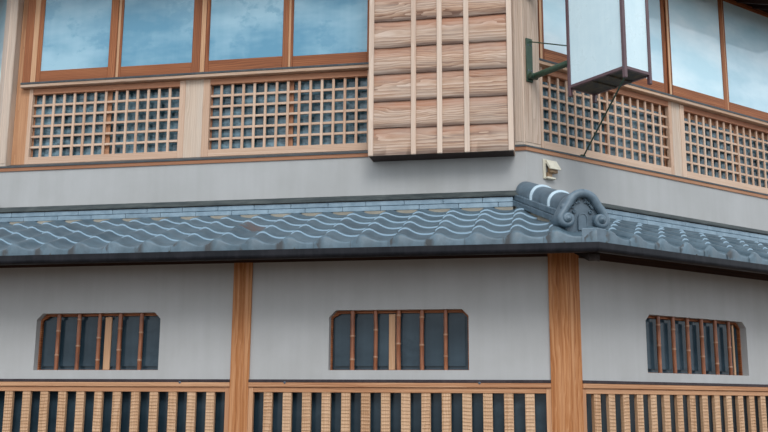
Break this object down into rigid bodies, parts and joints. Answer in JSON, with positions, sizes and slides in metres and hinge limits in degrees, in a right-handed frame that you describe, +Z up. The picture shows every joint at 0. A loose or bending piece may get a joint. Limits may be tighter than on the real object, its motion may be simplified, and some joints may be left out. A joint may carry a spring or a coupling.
{
  "type": "machiya townhouse",
  "caption": "Two-storey timber townhouse on a cut-off street corner, with plastered walls, lattices, barred windows, a tiled pent roof and a hipped tile roof.",
  "frame": {"origin": "middle of the footprint's box, at ground level", "axes": "+Z up, -Y out of the front face on the cut-off corner, +X to the right seen from the street"},
  "size_m": [14.0244, 10.77, 8.0388],
  "materials": {
    "stone": "rough cut granite",
    "floor_boards": "oiled boards",
    "party_plaster": "plain weathered render",
    "lower_plaster": "fine grey plaster",
    "upper_plaster": "fine pale grey plaster",
    "post_timber": "orange-brown cedar",
    "lattice_timber": "adzed yellow-tan bars",
    "sash_timber": "oiled orange-brown",
    "pale_timber": "planed pale cedar",
    "weathered_timber": "sun-bleached cedar",
    "cedar_boards": "weathered boards with strong grain",
    "dark_timber": "dark stained",
    "bamboo": "smoked bamboo",
    "roof_tile": "silver-grey smoked tile",
    "gutter": "semi-gloss near black",
    "glass": "clear",
    "sign_metal": "dark brown paint",
    "sign_panel": "blank translucent white",
    "bracket_metal": "dark green paint",
    "lamp_shell": "aged cream plastic"
  },
  "bodies": {
    "root": {"bamboo_bars": "bamboo", "band_caps": "cedar_boards", "ceiling": "floor_boards", "eave_rafters": "dark_timber", "entrance_doors": "lattice_timber", "fine_lattice_front": "pale_timber", "fine_lattice_left": "pale_timber", "fine_lattice_right": "pale_timber", "foundation": "stone", "front_wall": "lower_plaster", "ground_floor": "floor_boards", "ground_sills": "post_timber", "gutter_front": "gutter", "gutter_left": "gutter", "gutter_right": "gutter", "head_beams": "dark_timber", "hip_rafters": "dark_timber", "hip_ridges": "roof_tile", "lamp_box": "lamp_shell", "left_wall": "lower_plaster", "lower_corner_posts": "post_timber", "lower_glass": "glass", "lower_wall_posts": "post_timber", "main_roof_deck": "dark_timber", "main_roof_ridges": "roof_tile", "main_roof_tiles": "roof_tile", "party_wall_left": "party_plaster", "party_wall_right": "party_plaster", "pent_decks": "dark_timber", "pent_tiles": "roof_tile", "ridge_end_tiles": "roof_tile", "right_wall": "lower_plaster", "shutter_box": "cedar_boards", "shutter_box_wall": "upper_plaster", "sign_bracket": "bracket_metal", "sign_frame": "sign_metal", "sign_lantern": "sign_panel", "sign_stay": "bracket_metal", "upper_corner_posts": "weathered_timber", "upper_floor": "floor_boards", "upper_glass": "glass", "upper_sashes": "sash_timber", "upper_sills": "weathered_timber", "upper_wall_front": "upper_plaster", "upper_wall_left": "upper_plaster", "upper_wall_posts": "weathered_timber", "upper_wall_right": "upper_plaster", "waist_lattice_front": "lattice_timber", "waist_lattice_left": "lattice_timber", "waist_lattice_right": "lattice_timber", "waist_rails": "post_timber", "wall_courses": "roof_tile", "wall_plates": "dark_timber", "window_sashes": "sash_timber"}
  },
  "joints": []
}
